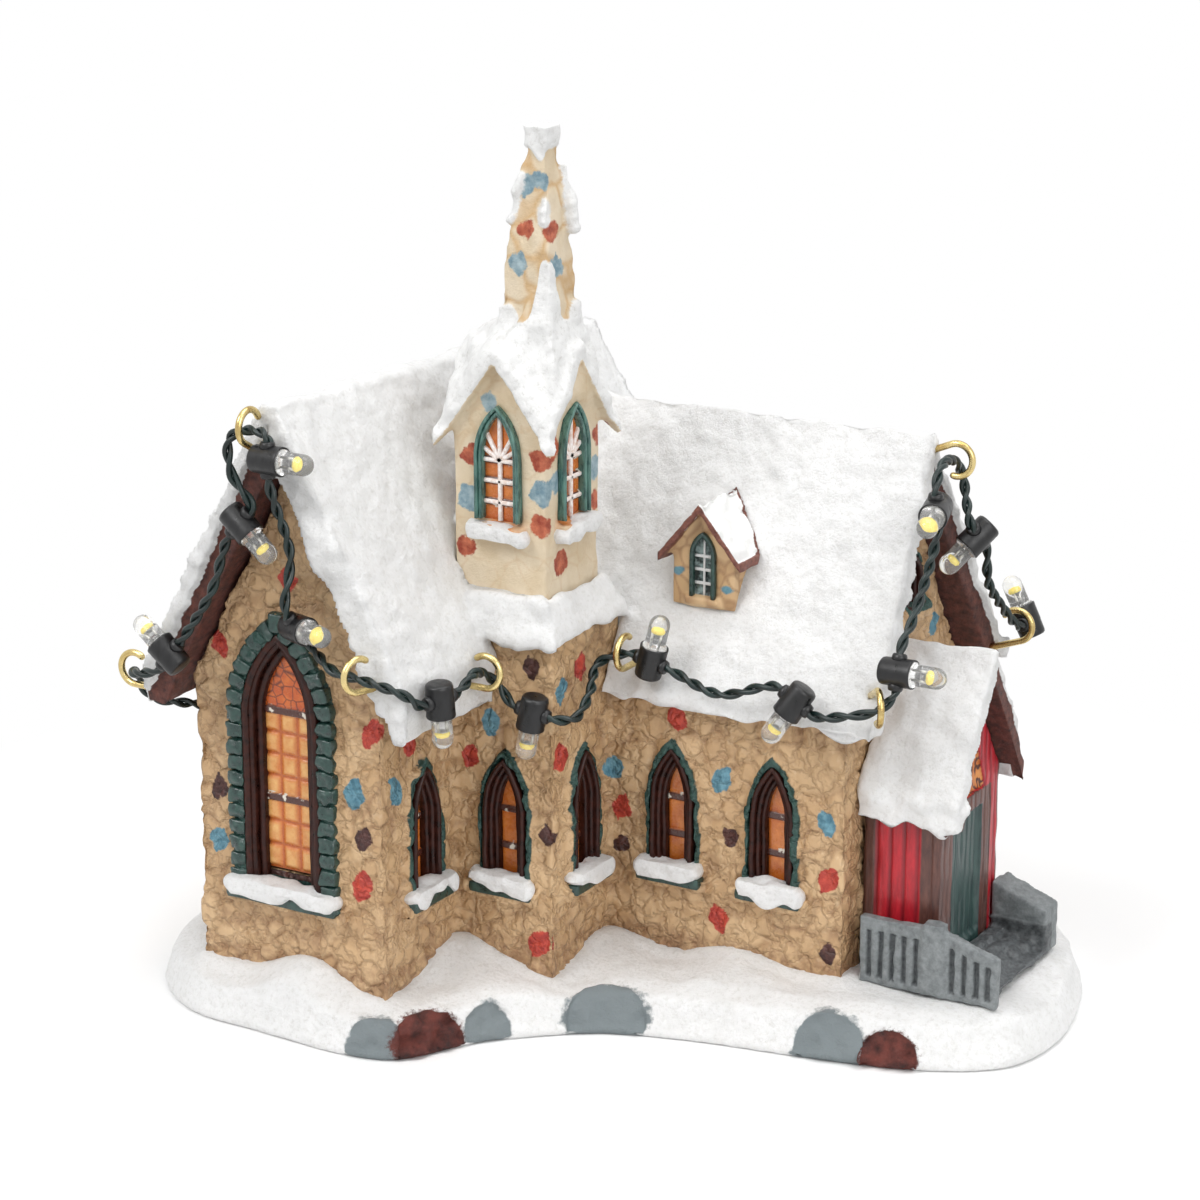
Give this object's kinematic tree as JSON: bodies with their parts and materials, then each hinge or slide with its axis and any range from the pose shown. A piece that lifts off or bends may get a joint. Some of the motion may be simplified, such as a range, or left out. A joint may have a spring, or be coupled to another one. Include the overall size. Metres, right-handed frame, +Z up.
{
  "type": "model village church",
  "caption": "Snow-covered stone church ornament with a bell tower, a gabled porch and a string of lamps hung on brass hooks, on a snow mound with a battery box.",
  "frame": {"origin": "middle of the bounding box of the casting and its hooks, on the plane that the base stands on", "axes": "+X east along the nave towards the porch, +Y north across the nave, +Z up; the viewer stands to the south east"},
  "size_m": [0.1412, 0.1057, 0.1408],
  "materials": {
    "snow": "brushed off-white paint on cast resin, with grey rocks and brown bark at the base's edge",
    "stonework": "tan painted cast resin with incised stones, some of them red, blue and brown, and dark green window surrounds",
    "tower": "honey-coloured translucent cast resin with painted stones, white muntins and snow",
    "porch_paint": "red boards with dark brown posts and a teal door, painted on cast resin",
    "step_paint": "grey painted cast resin with a dark wash",
    "amber_glaze": "translucent amber resin with brown glazing bars",
    "hook_brass": "bright drawn brass wire",
    "socket_plastic": "black moulded plastic",
    "led_lens": "clear epoxy lens with a yellow phosphor spot",
    "cord_jacket": "dark green plastic jacket, slightly glossy",
    "box_plastic": "fine-grained black plastic",
    "cell_jacket": "plain green shrink sleeve over steel",
    "contact_steel": "nickel-plated spring steel"
  },
  "bodies": {
    "church": {"snow_base": "snow", "church_walls": "stonework", "main_roof": "snow", "bell_tower": "tower", "roof_dormer": "stonework", "porch": "porch_paint", "porch_roof": "snow", "porch_steps": "step_paint", "window_wing_south": "amber_glaze", "window_wing_north": "amber_glaze", "window_wing_east": "amber_glaze", "window_foot_south": "amber_glaze", "window_foot_east": "amber_glaze", "window_nave_south_1": "amber_glaze", "window_nave_south_2": "amber_glaze", "window_nave_north_1": "amber_glaze", "window_nave_north_2": "amber_glaze", "window_east_gable": "amber_glaze", "battery_box": "box_plastic", "cell_1": "cell_jacket", "cell_2": "cell_jacket", "contact_bridge": "contact_steel", "contact_negative": "contact_steel", "contact_positive": "contact_steel", "hook_1": "hook_brass", "hook_2": "hook_brass", "hook_3": "hook_brass", "hook_4": "hook_brass", "hook_5": "hook_brass", "hook_6": "hook_brass", "hook_7": "hook_brass", "hook_8": "hook_brass", "lamp_socket_1": "socket_plastic", "lamp_led_1": "led_lens", "lamp_socket_2": "socket_plastic", "lamp_led_2": "led_lens", "lamp_socket_3": "socket_plastic", "lamp_led_3": "led_lens", "lamp_socket_4": "socket_plastic", "lamp_led_4": "led_lens", "lamp_socket_5": "socket_plastic", "lamp_led_5": "led_lens", "lamp_socket_6": "socket_plastic", "lamp_led_6": "led_lens", "lamp_socket_7": "socket_plastic", "lamp_led_7": "led_lens", "lamp_socket_8": "socket_plastic", "lamp_led_8": "led_lens", "lamp_socket_9": "socket_plastic", "lamp_led_9": "led_lens", "lamp_socket_10": "socket_plastic", "lamp_led_10": "led_lens", "lamp_socket_11": "socket_plastic", "lamp_led_11": "led_lens", "lamp_socket_12": "socket_plastic", "lamp_led_12": "led_lens", "light_string": "cord_jacket", "lead_inner": "cord_jacket"},
    "battery_door": {"battery_door": "box_plastic"},
    "switch_knob": {"switch_knob": "box_plastic"}
  },
  "joints": [
    {"name": "battery_door_hinge", "type": "hinge", "parent": "church", "child": "battery_door", "pos_m": [0, 0.0056, 0.0026], "axis": [-1, 0, 0], "range_deg": [0, 80]},
    {"name": "switch_slide", "type": "slide", "parent": "church", "child": "switch_knob", "axis": [0, 1, 0], "range_m": [0, 0.0025]}
  ]
}
